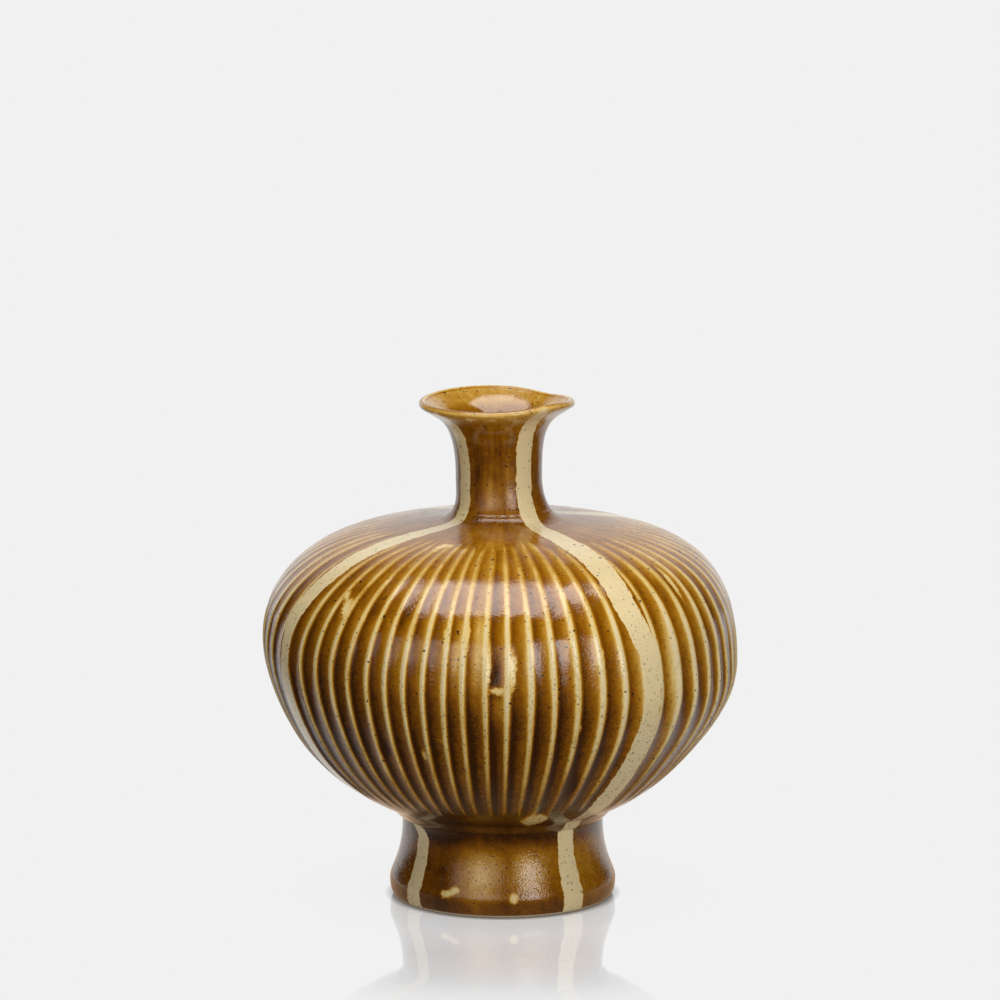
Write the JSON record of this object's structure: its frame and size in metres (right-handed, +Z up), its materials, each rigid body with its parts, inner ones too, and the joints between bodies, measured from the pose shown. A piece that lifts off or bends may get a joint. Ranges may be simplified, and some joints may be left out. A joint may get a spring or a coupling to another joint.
{
  "type": "stoneware vase",
  "caption": "Squat round flower vase on a flared foot ring, with upright flutes, pale uncut bands and a narrow trumpet neck.",
  "frame": {"origin": "centre of the belly's outline, on the ground under the foot ring", "axes": "+Z up along the vase's axis, out of its mouth; -Y towards the viewer of the picture; +X to the viewer's right"},
  "size_m": [0.212, 0.212, 0.2264],
  "materials": {
    "foot_glaze": "glossy amber glaze over pale stoneware, bare ground ring",
    "pooled_glaze": "glossy amber glaze, pooled dark in the joints",
    "belly_glaze": "glossy amber glaze, dark in the flutes and pale on the ribs, with cream bands",
    "neck_glaze": "glossy amber glaze with cream bands, inside and outside"
  },
  "bodies": {
    "root": {"foot_ring": "foot_glaze", "foot_joint_coil": "pooled_glaze", "belly": "belly_glaze", "neck_joint_coil": "pooled_glaze", "neck": "neck_glaze"}
  },
  "joints": []
}
